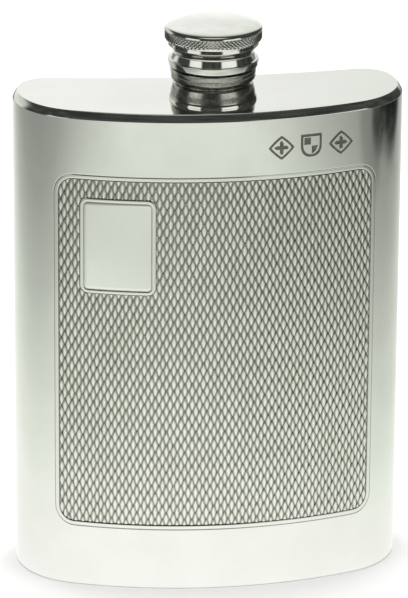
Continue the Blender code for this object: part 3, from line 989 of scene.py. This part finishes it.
# Azimuth is measured from the front towards +X, in degrees
SOFTBOXES = (  # azimuth and elevation, each low and high, then brightness
    (-74, -39, 2, 31, 0.92),
    (17, 61, 2, 31, 0.95),
)
ROOM_LEVEL = 0.045
TABLE_ACROSS = (  # x in metres, and how bright the table is there as the metal mirrors it
    (-0.60, 0.28), (-0.42, 0.27), (-0.35, 0.34), (-0.28, 0.42), (-0.20, 0.62), (-0.14, 0.82), (-0.10, 0.95),
    (-0.05, 1.06), (0.0, 1.09), (0.03, 1.06), (0.068, 0.985), (0.097, 0.87), (0.13, 0.77), (0.163, 0.68),
    (0.20, 0.57), (0.24, 0.46), (0.28, 0.38), (0.33, 0.30), (0.42, 0.24), (0.60, 0.28),
)
TABLE_AHEAD = (  # the same along y, the darker of the two being seen
    (-1.20, 0.28), (-0.80, 0.30), (-0.64, 0.45), (-0.52, 0.74), (-0.38, 0.84), (-0.32, 0.85), (-0.29, 0.83),
    (-0.25, 0.785), (-0.22, 0.78), (-0.18, 0.87), (-0.10, 1.02), (-0.04, 1.08), (0.50, 1.08),
)
TABLE_SHADES = (  # soft dark places in the mirrored table, painted reflections of dark surroundings: x and y of the middle, half sizes, slant, strength
    (0.405, 0.1, 0.072, 0.2, 0.3, 0.97),
    (0.353, -0.055, 0.026, 0.075, -0.1, 0.9),
    (0.31, -0.12, 0.045, 0.08, 0.0, 0.25),
    (0.055, -0.21, 0.06, 0.06, 0.0, 0.1),
)
RAMP_TOP = 1.25  # above every level, because a colour ramp holds 0 to 1


def mirrored_only(thing):
    """Shows a staged thing to reflections alone, and keeps it from lighting anything."""
    thing.visible_camera = thing.visible_diffuse = thing.visible_shadow = False
    thing.visible_transmission = thing.visible_volume_scatter = False
    thing.active_material.cycles.emission_sampling = "NONE"


def glowing(n, level, dim, bright):
    """Ends a node tree in an emission of the given level, a little green from the dim level down."""
    glow = n.node("ShaderNodeEmission")
    n.link(level, glow.inputs["Strength"])
    tint = n.mix(n.spread(level, dim, bright, 0, 1), (0.95, 1.0, 0.92), (0.995, 1.0, 0.975))
    n.link(tint, glow.inputs["Color"])
    n.tree.nodes.remove(n.shader)
    n.link(glow.outputs["Emission"], n.tree.nodes["Material Output"].inputs["Surface"])


def ramp(n, value, stops):
    """A smooth curve through (place, level) stops."""
    low, high = stops[0][0], stops[-1][0]
    made = n.node("ShaderNodeValToRGB")
    made.color_ramp.interpolation = "CARDINAL"
    while len(made.color_ramp.elements) < len(stops):
        made.color_ramp.elements.new(0.5)
    for element, (place, level) in zip(made.color_ramp.elements, stops):
        element.position = (place - low) / (high - low)
        element.color = (level / RAMP_TOP, level / RAMP_TOP, level / RAMP_TOP, 1)
    n.link(n.maths("DIVIDE", n.maths("SUBTRACT", value, low), high - low), made.inputs["Fac"])
    return n.times(made.outputs["Color"], RAMP_TOP)


def reflection_table():
    """The lit table top as the metal mirrors it, fading away from the flask."""
    n = Nodes("reflection_table")
    x, y, _ = n.axes()
    level = n.maths("MINIMUM", ramp(n, x, TABLE_ACROSS), ramp(n, y, TABLE_AHEAD))
    for middle_x, middle_y, half_x, half_y, slant, strength in TABLE_SHADES:
        leaning = n.plus(x, n.times(y, slant))
        off_x = n.maths("DIVIDE", n.maths("SUBTRACT", leaning, middle_x), half_x)
        off_y = n.maths("DIVIDE", n.maths("SUBTRACT", y, middle_y), half_y)
        away = n.plus(n.times(off_x, off_x), n.times(off_y, off_y))
        level = n.times(level, n.spread(away, 0.5, 1.5, 1 - strength, 1))
    glowing(n, level, 0.9, 1.08)
    mesh = sheet_mesh("reflection_table", 12.0, 0.02 * MM)
    mirrored_only(staged("reflection_table", mesh, n.material))


def reflection_dome():
    """What the metal mirrors above the table: a dark room behind the camera with two soft boxes in it, a
    pale wall behind the flask, and a light overhead."""
    bm = bmesh.new()
    bmesh.ops.create_uvsphere(bm, u_segments=48, v_segments=24, radius=4.0)
    mesh = bpy.data.meshes.new("reflection_dome")
    bm.to_mesh(mesh)
    bm.free()
    n = Nodes("reflection_dome")
    x, y, z = n.axes()
    azimuth = n.times(n.maths("ARCTAN2", x, n.times(y, -1.0)), 180 / math.pi)
    flat = n.maths("SQRT", n.plus(n.times(x, x), n.times(y, y)), 0.0)
    elevation = n.times(n.maths("ARCTAN2", z, flat), 180 / math.pi)
    # The pale wall fades out at both its ends and above, and is brightest near the table
    left = n.times(n.spread(azimuth, -180, -150, 1, 0.65), n.spread(azimuth, -128, -112, 1, 0))
    behind = n.maths("MAXIMUM", n.spread(azimuth, 140, 158, 0, 1), left)
    low = n.times(n.spread(elevation, 21, 37, 1, 0), n.spread(elevation, 12, 17.5, 1.2, 1))
    sideways = n.spread(x, 0.15, 0.8, 0.96, 0.84)
    level = n.times(n.times(behind, low), sideways)
    room = n.spread(n.noise(1.3, 2), 0.3, 0.7, 0.7 * ROOM_LEVEL, 1.6 * ROOM_LEVEL)
    overhead = n.spread(elevation, 70, 80, 0, 0.75)
    level = n.plus(n.plus(level, room), overhead)
    for a0, a1, e0, e1, bright in SOFTBOXES:
        patch = n.times(smooth_box(n, azimuth, a0, a1), smooth_box(n, elevation, e0, e1))
        level = n.plus(level, n.times(patch, bright))
    glowing(n, level, 0.84, 0.98)
    mirrored_only(staged("reflection_dome", mesh, n.material))


def area_light(name, place, target, size, watts):
    lamp = bpy.data.lights.new(name, "AREA")
    lamp.shape = "RECTANGLE"
    lamp.size, lamp.size_y = size
    lamp.energy = watts
    thing = added(name, lamp)
    thing.location = place
    thing.rotation_euler = (Vector(target) - Vector(place)).to_track_quat("-Z", "Y").to_euler()
    thing.visible_glossy = False
    thing.visible_camera = False


def studio():
    floor()
    reflection_table()
    reflection_dome()
    area_light("overhead", (0.0, 0.05, 0.75), (0, 0, 0), (0.6, 0.6), 7.0)
    world = bpy.data.worlds.new("pale_room")
    bpy.context.scene.world = world
    world.use_nodes = True
    world.node_tree.nodes["Background"].inputs["Color"].default_value = (0.93, 0.94, 0.93, 1)
    world.node_tree.nodes["Background"].inputs["Strength"].default_value = 0.75


def camera():
    """A long lens a little to the left of the front and looking down on the shoulder."""
    yaw, pitch, roll = math.radians(6.87), math.radians(19.82), 0.0062
    forward = Vector((math.sin(yaw) * math.cos(pitch), math.cos(yaw) * math.cos(pitch), -math.sin(pitch)))
    right = forward.cross(Vector((0, 0, 1))).normalized()
    up = right.cross(forward)
    across = (right + roll * up).normalized()
    turn = Matrix((across, (-forward).cross(across), -forward)).transposed()
    data = bpy.data.cameras.new("camera")
    data.sensor_fit = "HORIZONTAL"
    data.sensor_width, data.lens = 36.0, 395.55882
    data.clip_start, data.clip_end = 0.01, 60.0
    thing = added("camera", data)
    target, distance = Vector((-0.00216, -0.00784, 0.06265)), 0.94
    thing.matrix_world = Matrix.Translation(target - distance * forward) @ turn.to_4x4()
    bpy.context.scene.camera = thing


build_flask()
studio()
camera()
bpy.context.scene.view_settings.view_transform = "Standard"
